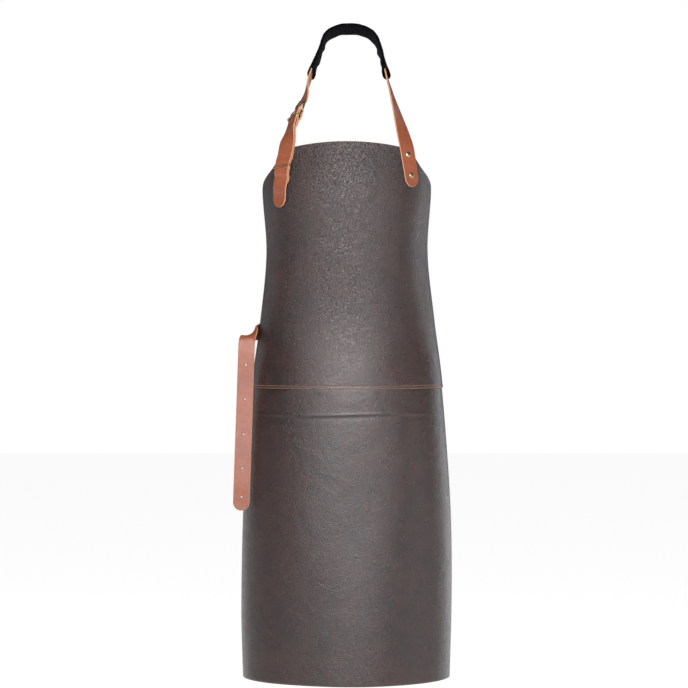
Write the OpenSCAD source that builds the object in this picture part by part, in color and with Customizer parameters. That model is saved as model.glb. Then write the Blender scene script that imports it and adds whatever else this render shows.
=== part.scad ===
// Leather welding apron: a bib panel lapped and stitched onto a skirt panel, hung from a
// buckled neck strap with a fabric sleeve, and closed behind by a buckled waist strap.
// +X is the wearer's left-hand side seen from the front, -Y is the front and +Z is up.
// The origin is where the sleeve bears on the back of the wearer's neck.

/* [Panels] */
// Thickness of the apron leather
panel_t = 1.8; // [1.4:0.1:2.2]
// Half of the cut width of the skirt and of the bib below the armholes
side_s = 300; // [290:5:310]
// Height of the bib's lower edge, which laps over the skirt
seam_h = 524; // [510:2:540]
// How far the skirt runs up behind the bib
lap = 12; // [8:1:20]
// Height of the bib's top corners above the hem
corner_h = 951; // [946:1:954]
// Rise of the bib's top edge from its corners to its middle
top_rise = 12; // [4:1:16]

/* [Straps] */
// Width of the leather straps
strap_w = 30; // [28:0.5:30]
// Thickness of the strap leather
strap_t = 2.6; // [2.2:0.1:2.6]
// Height of the bib's flex line, where the neck straps bend
flex_h = 957; // [956:1:959]
// Height of the waist strap behind the wearer
waist_h = 648; // [640:2:656]
// Sideways lean of the neck loop at its top
loop_lean = 5; // [0:1:8]

/* [Hardware] */
// Radius of the buckle wire
wire_r = 1.75; // [1.5:0.05:1.75]
// Radius of the keeper wire
keeper_r = 1.4; // [1.2:0.05:1.4]
// Radius of the wire of the ring on the bib
ring_r = 1.1; // [0.9:0.05:1.1]
// Radius of the rivets' domed caps
cap_r = 5.3; // [4.5:0.1:5.5]
// Radius of the rivets' posts
post_r = 1.5; // [1.2:0.1:1.6]
// Diameter of the punched adjusting holes
punch_d = 3; // [2.5:0.1:3.5]

/* [Sleeve] */
// Half of the width of the flat fabric sleeve
sleeve_w = 19; // [18:0.5:21]
// Half of the depth of the sleeve
sleeve_d = 3.4; // [3.2:0.1:4]
// Thickness of the sleeve's fabric
sleeve_t = 1.1; // [0.8:0.1:1.2]

/* [Hidden] */

// The wearer's body as sections at [height, half-width, half-depth]
form = [[0, 188, 132], [120, 191, 130], [280, 189, 127], [430, 181, 124], [540, 171, 120],
    [650, 156, 115], [770, 144.5, 112], [885, 152, 108], [965, 150, 92]];
// Half-width of the cut leather up the armhole at [height, half-width]
armhole = [[700, side_s], [770, 283], [840, 246], [890, 193], [918, 148], [corner_h, 118]];
// Each half of the neck loop at [step, half-width, distance up the loop]
loop_right = [[1, 90, 70], [2, 69, 160], [3, 58.5, 210], [4, 46, 246], [5, 23, 263], [6, 0, 267]];
loop_left = [[1, 90, 70], [2, 68.5, 160], [3, 54, 210], [4, 44, 246], [5, 23, 263]];
// How far the right half has twisted out of the bib's line at [distance up the loop, share]
twist_right = [[0, 0], [40, 0.22], [75, 0.4], [125, 0.62], [170, 0.82], [215, 1], [267, 1]];
// Direction of the neck loop's plane, up and back from the bib
loop_dir = [0, 0.513, 0.858];
// Direction across the untwisted strap beside the neck, and where it lies on the nape
loop_across = [0, -0.858, 0.513];
nape_across = [0, -0.94, 0.342];
loop_twist = 150;
loop_bow = 7;
loop_bow_len = 130;
loop_top = 267;

arc_step = 2.5;
gap = 0.2;
skirt_in = 0.25;
flex_gap = 0.8;
half_t = strap_t / 2;
strap_r = strap_w / 2;
lay = panel_t + gap + half_t;
tail_lift = 4;
punch_r = punch_d / 2;
hole_r = post_r + 0.1;

// Straight line of the neck strap's riveted ends in the cut leather
strap_s0 = 108.9;
strap_lean = 0.2;
end_h = 884;
rivet_h = [940, 903];
hidden_rivet_h = [941, 896];
ring_h = 918;
ring_bump = ring_r * 2 + 0.75;
ring_tilt = 15;
tip_h = 848;
tip_hole_h = [872, 918];

// The buckle's parts, measured along the strap from the heel bar
heel_step = 11;
hold = 32;
hold_ease = 40;
outer_u = 26;
fold_r = 1.95 + half_t;
pinch_u = 24;
flap_u = 34;
fold_rivet_u = 27;
along = 1.03;
side_w = strap_r + wire_r + 0.75;
keeper_u = -11;
keeper_w = strap_r + keeper_r + 0.4;
keeper_top = fold_r + half_t + 0.3 + strap_t + 0.3 + keeper_r;
prong_r = 1.4;
prong_line = [[3, 1.2], [3.2, 3.6], [5, 5.8], [8, 6.9], [12, 6.7], [17, 5.6], [23, 4], [28.5, 2.7]];
slot_w = 4.6;
slot_ends = [11, -5.5];
fold_slot_end = -7;
seat = 0.15;
// Step along the neck strap of a split inside the sleeve
hidden_split = 9.6;

// The waist strap, measured round the wearer from the middle of the front
rim_rivets = [286, 262];
rim_end = 248;
heel_gap = 48;
// Where the loose end leaves the wearer's side, turns over and hangs
bend = [[-169, -12, 622], [-173.5, -28, 620], [-179.5, -37, 612]];
exit_drop = 22;
exit_run = 90;
bend_n = [[-0.95, -0.05, 0.3], [-0.5, -0.25, 0.83], [-0.1, -0.9, 0.42]];
tail_top = [-181, -40, 596];
tail_end = [-190, -56, 305];
tail_holes = [24, 75, 137, 199, 261];

function unit(v) = v / norm(v);
function mix(a, b, t) = a + (b - a) * t;
function clamp(t) = min(max(t, 0), 1);
function smooth(t) = let (c = clamp(t)) c * c * (3 - 2 * c);
function flip(v) = [-v[0], v[1], v[2]];

// A cubic curve through stations whose first value is where they stand
function slope(p, i, k) =
    let (a = max(i - 1, 0), b = min(i + 1, len(p) - 1)) (p[b][k] - p[a][k]) / (p[b][0] - p[a][0]);
function through(p, x, k, i = 0) =
    i < len(p) - 2 && x > p[i + 1][0] ? through(p, x, k, i + 1) :
    let (d = p[i + 1][0] - p[i][0], t = (x - p[i][0]) / d, t2 = t * t, t3 = t2 * t)
    (2 * t3 - 3 * t2 + 1) * p[i][k] + (t3 - 2 * t2 + t) * slope(p, i, k) * d
    + (3 * t2 - 2 * t3) * p[i + 1][k] + (t3 - t2) * slope(p, i + 1, k) * d;

// Places on the wearer's body: s is measured round it from the middle of the front
function chord(a, b, i) =
    let (f = i * arc_step, g = f + arc_step) norm([a * (sin(g) - sin(f)), b * (cos(g) - cos(f))]);
function arc_table(h) =
    let (a = through(form, h, 1), b = through(form, h, 2))
    [for (i = 0, s = 0; i <= 360 / arc_step; s = s + chord(a, b, i), i = i + 1) [s, i * arc_step]];
function girth(h) = let (t = arc_table(h)) t[len(t) - 1][0];
function angle_at(s, table) = (s < 0 ? -1 : 1) * lookup(abs(s), table);
function normal_at(f, h) =
    unit([through(form, h, 2) * sin(f), -through(form, h, 1) * cos(f), 0]);
function place_at(f, h, out) =
    [through(form, h, 1) * sin(f), -through(form, h, 2) * cos(f), h] + out * normal_at(f, h);
function place(s, h, out) = place_at(angle_at(s, arc_table(h)), h, out);
function normal(s, h) = normal_at(angle_at(s, arc_table(h)), h);
// The direction square to the leather, with the body's slope up and down in it
function facing(s, h) =
    let (n = normal(s, h), up = place(s, h + 2, 0) - place(s, h - 2, 0)) unit(n - [0, 0, up * n / up[2]]);

// The cut leather's half-width and the line of its top edge
function cut_half(h) = h <= armhole[0][0] ? side_s : through(armhole, min(h, corner_h), 1);

// The riveted strap ends, by height; the ring's wire lifts the buckled one off the bib
function strap_s(h) = strap_s0 + strap_lean * (flex_h - h);
function bump(h) = ring_bump * (1 - smooth((abs(h - ring_h) - 11) / 6));
function tip_lift(h) = tail_lift - 3 * smooth((end_h - 2 - h) / 16);

// The neck loop, by step from the right flex line (0) round the neck to the left one (12)
flex = place(strap_s0, flex_h, lay);
flex_n = normal(strap_s0, flex_h);
loop_all = concat([[0, flex[0], 0]], loop_right,
    [for (i = [4:-1:0]) [12 - loop_left[i][0], -loop_left[i][1], loop_left[i][2]]], [[12, -flex[0], 0]]);
function loop_up(q) = through(loop_all, q, 2);
function spine(q) =
    let (w = loop_up(q), bow = w < loop_bow_len ? loop_bow * sin(180 * w / loop_bow_len) : 0)
    [through(loop_all, q, 1) + loop_lean * w / loop_top, flex[1] - bow, flex_h] + loop_dir * w;
function spine_along(q) = unit(spine(min(q + 0.02, 12)) - spine(max(q - 0.02, 0)));
function square_to(n, t) = unit(n - t * (n * t));
function spine_normal(q) =
    let (t = spine_along(q), up = loop_up(q), edge = q < 6 ? flex_n : flip(flex_n),
        across = unit(mix(loop_across, nape_across, smooth((up - loop_twist) / 80))),
        twist = q < 6 ? clamp(through(twist_right, up, 1)) : smooth(up / loop_twist))
    square_to(unit(mix(edge, unit(cross(t, across)), twist)), t);
// Distance along the strap from the neck buckle's heel bar, towards the neck
function from_heel(q) = (loop_up(q) - loop_up(heel_step)) * along;
function step_at(x, a = 9, b = 12, i = 0) =
    let (m = (a + b) / 2) i > 30 ? m : from_heel(m) > x ? step_at(x, m, b, i + 1) : step_at(x, a, m, i + 1);
// The strap is held straight and flat through the buckle, and eases back into the loop past it
heel = spine(heel_step);
heel_u = -spine_along(heel_step);
heel_n = spine_normal(heel_step);
function ease(q) = q < 9 ? 1 : smooth((abs(from_heel(q)) - hold) / hold_ease);
function loop_at(q) = let (e = ease(q)) e == 1 ? spine(q) : mix(heel + heel_u * from_heel(q), spine(q), e);
function loop_along(q) = unit(loop_at(min(q + 0.02, 12)) - loop_at(max(q - 0.02, 0)));
function loop_normal(q) =
    let (e = ease(q), n = e == 1 ? spine_normal(q) : unit(mix(heel_n, spine_normal(q), e)))
    square_to(n, loop_along(q));

// Heights of the strap layers above the heel bar's line
function fold_lift(u, low) =
    u > -14 ? fold_r : u > -pinch_u ? mix(fold_r, half_t + 0.15, smooth((-14 - u) / (pinch_u - 14)))
    : mix(half_t + 0.15, low, smooth((-flap_u - u) / 24));
top_high = fold_r + strap_t + 0.3;
function top_lift(u) =
    u > outer_u ? mix(-3.35, 0, smooth((u - outer_u) / 40)) :
    u > 0 ? mix(top_high, -3.35, smooth(u / outer_u)) :
    u > -pinch_u ? mix(top_high, 5.35, smooth((-14 - u) / (pinch_u - 14))) :
    mix(5.35, tail_lift, smooth((-u - flap_u) / 22));

// A sheet between two grids of points, front and back, row by row
module slab(front, back) {
    rows = len(front) - 1;
    cols = len(front[0]) - 1;
    wide = cols + 1;
    n = (rows + 1) * wide;
    function f(i, j) = i * wide + j;
    function b(i, j) = n + i * wide + j;
    polyhedron(
        points = concat([for (r = front) each r], [for (r = back) each r]),
        faces = concat(
            [for (i = [0:rows - 1], j = [0:cols - 1]) each [
                [f(i, j), f(i + 1, j), f(i + 1, j + 1)], [f(i, j), f(i + 1, j + 1), f(i, j + 1)],
                [b(i, j), b(i + 1, j + 1), b(i + 1, j)], [b(i, j), b(i, j + 1), b(i + 1, j + 1)]]],
            [for (j = [0:cols - 1]) each [
                [f(0, j), f(0, j + 1), b(0, j + 1)], [f(0, j), b(0, j + 1), b(0, j)],
                [f(rows, j + 1), f(rows, j), b(rows, j)], [f(rows, j + 1), b(rows, j), b(rows, j + 1)]]],
            [for (i = [0:rows - 1]) each [
                [f(i + 1, 0), f(i, 0), b(i, 0)], [f(i + 1, 0), b(i, 0), b(i + 1, 0)],
                [f(i, cols), f(i + 1, cols), b(i + 1, cols)], [f(i, cols), b(i + 1, cols), b(i, cols)]]]));
}

// Length along a line of points up to each of them
function step_after(p, i) = i + 1 < len(p) ? norm(p[i + 1] - p[i]) : 0;
function travel(p) = [for (i = 0, d = 0; i < len(p); d = d + step_after(p, i), i = i + 1) d];
function ahead(p, i) = unit(p[min(i + 1, len(p) - 1)] - p[max(i - 1, 0)]);
function round_off(d) =
    let (x = strap_r - d) x <= 0 ? strap_r : max(3, sqrt(strap_r * strap_r - x * x));

// A strap along points, facing the normals, with either end rounded
module strap(p, n, round_start = false, round_end = false) {
    d = travel(p);
    total = d[len(d) - 1];
    t = [for (i = [0:len(p) - 1]) ahead(p, i)];
    b = [for (i = [0:len(p) - 1]) unit(cross(t[i], n[i]))];
    m = [for (i = [0:len(p) - 1]) cross(b[i], t[i])];
    h = [for (i = [0:len(p) - 1])
        min(round_start ? round_off(d[i]) : strap_r, round_end ? round_off(total - d[i]) : strap_r)];
    slab([for (i = [0:len(p) - 1]) [p[i] - b[i] * h[i] + m[i] * half_t, p[i] + b[i] * h[i] + m[i] * half_t]],
        [for (i = [0:len(p) - 1]) [p[i] - b[i] * h[i] - m[i] * half_t, p[i] + b[i] * h[i] - m[i] * half_t]]);
}

// Both sides of a strap that is slotted along its middle
module slot_sides(p, n) {
    t = [for (i = [0:len(p) - 1]) ahead(p, i)];
    b = [for (i = [0:len(p) - 1]) unit(cross(t[i], n[i]))];
    m = [for (i = [0:len(p) - 1]) cross(b[i], t[i])];
    for (side = [[-strap_r, -slot_w / 2], [slot_w / 2, strap_r]])
        slab([for (i = [0:len(p) - 1]) [for (x = side) p[i] + b[i] * x + m[i] * half_t]],
            [for (i = [0:len(p) - 1]) [for (x = side) p[i] + b[i] * x - m[i] * half_t]]);
}

// A closed tube through rings of points, with an inner wall
module shell(outer, inner) {
    rows = len(outer);
    k = len(outer[0]);
    n = rows * k;
    function o(i, j) = i * k + j % k;
    function v(i, j) = n + i * k + j % k;
    polyhedron(
        points = concat([for (r = outer) each r], [for (r = inner) each r]),
        faces = concat(
            [for (i = [0:rows - 2], j = [0:k - 1]) each [
                [o(i, j), o(i + 1, j), o(i + 1, j + 1)], [o(i, j), o(i + 1, j + 1), o(i, j + 1)],
                [v(i, j), v(i + 1, j + 1), v(i + 1, j)], [v(i, j), v(i, j + 1), v(i + 1, j + 1)]]],
            [for (j = [0:k - 1]) each [
                [o(0, j), o(0, j + 1), v(0, j + 1)], [o(0, j), v(0, j + 1), v(0, j)],
                [o(rows - 1, j + 1), o(rows - 1, j), v(rows - 1, j)],
                [o(rows - 1, j + 1), v(rows - 1, j), v(rows - 1, j + 1)]]]));
}

// A solid round rod through points, of any radius at each
module rod(p, r, sides) {
    t = [for (i = [0:len(p) - 1]) ahead(p, i)];
    rings = [for (i = [0:len(p) - 1]) let (x = unit(cross(t[i], [0.01, 0.02, 1])), y = cross(t[i], x))
        [for (j = [0:sides - 1]) p[i] + r * (x * cos(360 * j / sides) + y * sin(360 * j / sides))]];
    last = (len(p) - 1) * sides;
    polyhedron(
        points = [for (q = rings) each q],
        faces = concat(
            [[for (j = [0:sides - 1]) j]],
            [[for (j = [sides - 1:-1:0]) last + j]],
            [for (i = [0:len(p) - 2], j = [0:sides - 1])
                let (a = i * sides + j, c = i * sides + (j + 1) % sides)
                each [[c, a, a + sides], [c, a + sides, c + sides]]]));
}

// Puts a piece's own x, y and z along u, across and out of the strap
module at_frame(p, u, n) {
    w = cross(n, u);
    multmatrix([[u[0], w[0], n[0], p[0]], [u[1], w[1], n[1], p[1]], [u[2], w[2], n[2], p[2]]]) children();
}
module at_neck_buckle() {
    at_frame(heel, heel_u, heel_n) children();
}
heel_s = girth(waist_h) - side_s - heel_gap;
function level(n) = [n[1], -n[0], 0];
// The waist strap lies on the sloping leather at both rims and stands upright between them
function waist_facing(s) =
    let (k = max(smooth((side_s + 26 - s) / 24), smooth((s - heel_s - flap_u) / 13)))
    unit(mix(normal(s, waist_h), facing(s, waist_h), k));
module at_waist_buckle() {
    n = normal(heel_s, waist_h);
    at_frame(place(heel_s, waist_h, lay), level(n), n) children();
}
// Puts a piece on the panel at s and h, with z out of the leather and x up the strap
module at_strap_end(side, h) {
    p = place(strap_s(h), h, 0);
    q = place(strap_s(h + 4), h + 4, 0);
    n = facing(strap_s(h), h);
    up = square_to(q - p, n);
    at_frame(side > 0 ? p : flip(p), side > 0 ? up : flip(up), side > 0 ? n : flip(n)) children();
}
module at_rim(s) {
    n = waist_facing(s);
    at_frame(place(s, waist_h, 0), unit(level(n)), n) children();
}

// A rivet's domed cap and post; the strap's face is at z = face and the post runs in to z = 0
module domed_rivet(face, back = 0) {
    crown = 2;
    ball = (cap_r * cap_r + crown * crown) / (2 * crown);
    translate([0, 0, face + 0.05]) rotate_extrude($fn = 48) intersection() {
        square([cap_r, crown + 0.4]);
        translate([0, crown + 0.4 - ball]) circle(ball, $fn = 180);
    }
    translate([0, 0, back - 1]) cylinder(r = post_r, h = face - back + 1.5, $fn = 32);
}
// A low cap that lies under another strap
module flat_rivet(face, back = 0) {
    translate([0, 0, face + 0.05]) cylinder(r = cap_r - 0.8, h = 0.8, $fn = 48);
    translate([0, 0, back - 1]) cylinder(r = post_r, h = face - back + 1.5, $fn = 32);
}
module rivet_back(back = 0) {
    translate([0, 0, back - 1.5]) difference() {
        cylinder(r = cap_r - 0.8, h = 1.3, $fn = 48);
        translate([0, 0, 0.45]) cylinder(r = post_r + 0.03, h = 2, $fn = 32);
    }
}
module hole(r = hole_r) { translate([0, 0, -8]) cylinder(r = r, h = 26, $fn = 32); }

// A quarter of a bent wire
module elbow(r, wire) { rotate_extrude(angle = 90, $fn = 48) translate([r, 0]) circle(wire, $fn = 32); }
module bar(length, wire) { rotate([-90, 0, 0]) cylinder(r = wire, h = length, center = true, $fn = 32); }

// The buckle's frame: a heel bar at x = 0, two arms and an outer bar with round corners
module buckle_frame() {
    heel_r = wire_r + 0.45;
    outer_r = 6;
    color("darkgoldenrod") {
        bar(2 * (side_w - heel_r), wire_r);
        translate([outer_u, 0, 0]) bar(2 * (side_w - outer_r), wire_r);
        for (s = [-1, 1]) {
            translate([heel_r, s * side_w, 0]) rotate([0, 90, 0])
                cylinder(r = wire_r, h = outer_u - heel_r - outer_r, $fn = 32);
            translate([heel_r, s * (side_w - heel_r), 0]) rotate([0, 0, s > 0 ? 90 : 180])
                elbow(heel_r, wire_r);
            translate([outer_u - outer_r, s * (side_w - outer_r), 0]) rotate([0, 0, s > 0 ? 0 : 270])
                elbow(outer_r, wire_r);
        }
    }
}
// The prong: a collar round the heel bar and a curved tongue that rests on the outer bar
module buckle_prong() {
    color("goldenrod") union() {
        rotate([-90, 0, 0]) difference() {
            cylinder(r = 3.7, h = 3.8, center = true, $fn = 48);
            cylinder(r = wire_r + 0.1, h = 6, center = true, $fn = 32);
        }
        rod([for (i = [0:0.5:7]) let (line = [for (k = [0:7]) [k, prong_line[k][0], prong_line[k][1]]])
            [through(line, i, 1), 0, through(line, i, 2)]], prong_r, 12);
    }
}
// A rectangular wire loop in the y-z plane, from z = low to z = high
module wire_loop(half, low, high, wire) {
    r = wire + 0.8;
    for (z = [low, high]) translate([0, 0, z]) bar(2 * (half - r), wire);
    for (s = [-1, 1]) {
        translate([0, s * half, low + r]) cylinder(r = wire, h = high - low - 2 * r, $fn = 32);
        translate([0, s * (half - r), high - r]) rotate([90, 0, 90])
            mirror([s > 0 ? 0 : 1, 0, 0]) elbow(r, wire);
        translate([0, s * (half - r), low + r]) rotate([90, 0, 90])
            mirror([s > 0 ? 0 : 1, 0, 0]) mirror([0, 1, 0]) elbow(r, wire);
    }
}
module keeper() { translate([keeper_u, 0, 0]) wire_loop(keeper_w, 0, keeper_top, keeper_r); }
// A row of stations with the wanted spacing, both ends included
function steps(a, b, n) = [for (i = [0:n]) mix(a, b, i / n)];

module neck_strap_part(q) {
    strap([for (k = q) loop_at(k) + loop_normal(k) * (k > 9 ? top_lift(from_heel(k)) : 0)],
        [for (k = q) loop_normal(k)]);
}
module neck_strap() {
    color("peru") {
        neck_strap_part(steps(0.018, hidden_split, 48));
        neck_strap_part(concat(steps(hidden_split + 0.004, 9.8, 3), steps(9.86, step_at(slot_ends[0]), 16)));
        neck_strap_part(concat(steps(step_at(slot_ends[1]), 11.35, 14), steps(11.4, 11.982, 10)));
    }
}
module neck_strap_slot_sides() {
    x = steps(slot_ends[0] - seat, slot_ends[1] + seat, 10);
    color("peru") slot_sides([for (k = x) heel + heel_u * k + heel_n * top_lift(k)], [for (k = x) heel_n]);
}

// A flat tube round the neck strap: rings of points with rounded edges
function ring_around(q, half, deep) =
    let (t = loop_along(q), n = loop_normal(q), b = cross(t, n))
    [for (a = [0:30:330]) loop_at(q) + b * (half - deep) * (cos(a) < -0.1 ? -1 : cos(a) > 0.1 ? 1 : 0)
        - b * deep * -cos(a) + n * deep * sin(a)];
module neck_sleeve() {
    q = steps(2, 10, 28);
    color("midnightblue")
        shell([for (k = q) ring_around(k, sleeve_w, sleeve_d)],
            [for (k = q) ring_around(k, sleeve_w - sleeve_t, sleeve_d - sleeve_t)]);
}

// The way round the heel bar between the two layers of a fold, from above it to below
fold_turn = steps(15, 165, 8);
module neck_buckle_strap() {
    up = steps(11.982, step_at(fold_slot_end), 18);
    down = steps(step_at(fold_slot_end), step_at(-flap_u), 12);
    color("peru") difference() {
        union() {
            strap([for (k = up) loop_at(k) + loop_normal(k) * fold_lift(from_heel(k), 0)],
                [for (k = up) loop_normal(k)]);
            strap([for (k = down) loop_at(k) - loop_normal(k) * fold_lift(from_heel(k), half_t + 0.15)],
                [for (k = down) -loop_normal(k)], round_end = true);
        }
        at_neck_buckle() translate([-fold_rivet_u, 0, 0]) hole();
    }
}
module neck_fold_sides() {
    x = steps(fold_slot_end + seat, -0.4, 3);
    back = steps(-0.4, fold_slot_end + seat, 3);
    color("peru") slot_sides(
        concat([for (k = x) heel + heel_u * k + heel_n * fold_r],
            [for (a = fold_turn) heel + fold_r * (heel_u * sin(a) + heel_n * cos(a))],
            [for (k = back) heel + heel_u * k - heel_n * fold_r]),
        concat([for (k = x) heel_n], [for (a = fold_turn) heel_u * sin(a) + heel_n * cos(a)],
            [for (k = back) -heel_n]));
}
module neck_fold_rivet_cap() {
    color("goldenrod") at_neck_buckle() translate([-fold_rivet_u, 0, 0])
        flat_rivet(strap_t + 0.25, -strap_t - 0.25);
}
module neck_fold_rivet_back() {
    color("goldenrod") at_neck_buckle() translate([-fold_rivet_u, 0, 0])
        rivet_back(-strap_t - 0.25);
}
module neck_buckle_frame() { at_neck_buckle() buckle_frame(); }
module neck_buckle_prong() { at_neck_buckle() buckle_prong(); }
module neck_keeper() { color("darkgoldenrod") at_neck_buckle() keeper(); }

// The rivet holes at both of the bib's top corners and at both rear edges
module corner_holes() {
    for (h = rivet_h) at_strap_end(1, h) hole();
    for (h = hidden_rivet_h) at_strap_end(-1, h) hole();
}
module rim_holes() {
    for (s = rim_rivets) {
        at_rim(s) hole();
        at_rim(girth(waist_h) - s) hole();
    }
}
// One row of a panel: a height, its half-width, how far its middle rises and the face's offset
function row(h, half, rise, out, cols) =
    [for (j = [-cols:cols]) let (t = j / cols, z = h + rise * (1 - t * t), table = arc_table(z))
        place_at(angle_at(half * t, table), z, out)];
module bib_panel() {
    cols = 26;
    heights = concat(steps(seam_h, 700, 6), steps(730, 880, 5), steps(893, corner_h, 6));
    function rise(h) = top_rise * smooth((h - 860) / (corner_h - 860));
    color("saddlebrown") difference() {
        slab([for (h = heights) row(h, cut_half(h), rise(h), panel_t, cols)],
            [for (h = heights) row(h, cut_half(h), rise(h), 0, cols)]);
        corner_holes();
        rim_holes();
    }
}
module skirt_panel() {
    cols = 26;
    heights = steps(0, seam_h + lap, 12);
    color("saddlebrown")
        slab([for (h = heights) row(h, side_s, 0, -skirt_in, cols)],
            [for (h = heights) row(h, side_s, 0, -skirt_in - panel_t, cols)]);
}
module waist_seam_thread() {
    thread_r = 0.4;
    out = panel_t + thread_r + 0.1;
    color("sienna")
        rod([for (t = steps(-1, 1, 60)) place((side_s - 4) * t, seam_h + 4.5, out)], thread_r, 6);
}

// A riveted strap end on the bib, by height
function end_points(side, heights, extra) =
    [for (h = heights) let (p = place(strap_s(h), h, lay + extra * bump(h))) side > 0 ? p : flip(p)];
function end_normals(side, heights) =
    [for (h = heights) let (n = normal(strap_s(h), h)) side > 0 ? n : flip(n)];
module neck_strap_end() {
    heights = concat(steps(end_h, end_h + 16, 7), steps(end_h + 22, flex_h - flex_gap, 7));
    color("peru") difference() {
        strap(end_points(1, heights, 0), end_normals(1, heights), round_start = true);
        for (h = rivet_h) at_strap_end(1, h) hole();
    }
}
module neck_buckle_strap_end() {
    heights = concat(steps(end_h, end_h + 16, 7), steps(end_h + 19, flex_h - flex_gap, 16));
    color("peru") difference() {
        strap(end_points(-1, heights, 1), end_normals(-1, heights), round_start = true);
        for (h = hidden_rivet_h) at_strap_end(-1, h) hole();
    }
}
module neck_strap_tip() {
    heights = concat(steps(tip_h, tip_h + 16, 7), steps(tip_h + 20, flex_h - flex_gap, 24));
    color("peru") difference() {
        strap([for (h = heights) flip(place(strap_s(h), h, lay + bump(h) + tip_lift(h)))],
            end_normals(-1, heights), round_start = true);
        for (h = tip_hole_h) at_strap_end(-1, h) hole(punch_r);
    }
}
module bib_rivet_caps() {
    color("goldenrod") {
        for (h = rivet_h) at_strap_end(1, h) domed_rivet(lay + half_t + 0.1, -gap);
        for (h = hidden_rivet_h) at_strap_end(-1, h) flat_rivet(lay + half_t + 0.1 + bump(h), -gap);
    }
}
module bib_rivet_backs() {
    color("goldenrod") {
        for (h = rivet_h) at_strap_end(1, h) rivet_back(-gap);
        for (h = hidden_rivet_h) at_strap_end(-1, h) rivet_back(-gap);
    }
}
module tail_ring() {
    low = panel_t + gap + ring_r;
    high = lay + ring_bump + tail_lift + half_t + gap + ring_r;
    color("darkgoldenrod") at_strap_end(-1, ring_h) rotate([0, 0, ring_tilt])
        wire_loop(strap_r + ring_r + 1.6, low, high, ring_r);
}

// The waist strap lies round the wearer, over the buckled strap, and its loose end turns down
function waist_out(s) =
    let (u = heel_s - s, over = girth(waist_h) - rim_end)
    lay + (s > over ? mix(tail_lift, 0.2, smooth((s - over - 2) / 16)) : s > side_s + 20 ? top_lift(u) : 0);
side_exit = girth(waist_h) - 226;
lie_first = concat(steps(rim_end, rim_end + 16, 7), steps(rim_end + 22, side_s + 30, 11),
    steps(side_s + 40, heel_s - 70, 8), steps(heel_s - 66, heel_s - 30, 8),
    steps(heel_s - 27, heel_s - slot_ends[0], 6));
lie_last = concat(steps(heel_s - slot_ends[1], heel_s + 30, 9), steps(heel_s + 34, side_exit, 18));
free_out = waist_out(side_exit);
function free_drop(s) = -exit_drop * smooth((s - side_exit + exit_run) / exit_run);
free_p = concat([for (s = [side_exit - 24, side_exit]) place(s, waist_h + free_drop(s), free_out)],
    bend, [tail_top]);
free_n = concat([waist_facing(side_exit - 24), waist_facing(side_exit)], bend_n, [[0, -1, 0.05]]);
free_line = [for (i = [0:len(free_p) - 1]) concat([i], free_p[i], free_n[i])];
function free_at(k) = [for (c = [1:3]) through(free_line, k, c)];
function free_normal(k) = unit([for (c = [4:6]) through(free_line, k, c)]);
function lie_points(s) = [for (k = s) place(k, waist_h + free_drop(k), waist_out(k))];
function lie_normals(s) = [for (k = s) waist_facing(k)];
module waist_strap() {
    k = steps(1.1, 3.84, 22);
    color("peru") difference() {
        union() {
            strap(lie_points(lie_first), lie_normals(lie_first), round_start = true);
            strap(concat(lie_points(lie_last), [for (i = k) free_at(i)]),
                concat(lie_normals(lie_last), [for (i = k) free_normal(i)]));
        }
        for (s = rim_rivets) at_rim(s) hole();
    }
}
module waist_strap_slot_sides() {
    s = steps(heel_s - slot_ends[0] + seat, heel_s - slot_ends[1] - seat, 10);
    color("peru") slot_sides(lie_points(s), lie_normals(s));
}
module waist_strap_tail() {
    k = steps(4.22, 5, 5);
    long = norm(tail_end - tail_top);
    down = concat(steps(0.06, 0.94, 7), steps(1 - 16 / long, 1, 7));
    color("peru") difference() {
        strap(concat([for (i = k) free_at(i)], [for (t = down) mix(tail_top, tail_end, t)]),
            concat([for (i = k) free_normal(i)], [for (t = down) [0, -1, 0.05]]), round_end = true);
        for (d = tail_holes) translate(mix(tail_end, tail_top, d / long)) rotate([90, 0, 0]) hole(punch_r);
    }
}
function folded(s, sign, low) = [for (k = s) place(k, waist_h, lay + sign * fold_lift(heel_s - k, low))];
module waist_buckle_strap() {
    over = girth(waist_h) - rim_end;
    up = concat(steps(over, over - 16, 7), steps(over - 22, heel_s - fold_slot_end, 18));
    down = steps(heel_s - fold_slot_end, heel_s + flap_u, 12);
    color("peru") difference() {
        union() {
            strap(folded(up, 1, 0), lie_normals(up), round_start = true);
            strap(folded(down, -1, half_t + 0.15), [for (k = down) -waist_facing(k)], round_end = true);
        }
        at_rim(heel_s + fold_rivet_u) hole();
        for (s = rim_rivets) at_rim(girth(waist_h) - s) hole();
    }
}
module waist_fold_sides() {
    n = normal(heel_s, waist_h);
    p = place(heel_s, waist_h, lay);
    s = steps(heel_s - fold_slot_end - seat, heel_s + 0.4, 3);
    back = steps(heel_s + 0.4, heel_s - fold_slot_end - seat, 3);
    color("peru") slot_sides(
        concat(folded(s, 1, 0), [for (a = fold_turn) p + fold_r * (level(n) * sin(a) + n * cos(a))],
            folded(back, -1, 0)),
        concat(lie_normals(s), [for (a = fold_turn) level(n) * sin(a) + n * cos(a)],
            [for (k = back) -waist_facing(k)]));
}
module waist_rivet_caps() {
    color("goldenrod") for (s = rim_rivets) {
        at_rim(s) domed_rivet(lay + half_t, -gap);
        at_rim(girth(waist_h) - s) flat_rivet(lay + half_t, -gap);
    }
}
module waist_rivet_backs() {
    color("goldenrod") for (s = rim_rivets) {
        at_rim(s) rivet_back(-gap);
        at_rim(girth(waist_h) - s) rivet_back(-gap);
    }
}
module waist_fold_rivet_cap() {
    color("goldenrod") at_rim(heel_s + fold_rivet_u) flat_rivet(lay + strap_t + 0.25, lay - strap_t - 0.25);
}
module waist_fold_rivet_back() {
    color("goldenrod") at_rim(heel_s + fold_rivet_u) rivet_back(lay - strap_t - 0.25);
}
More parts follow.
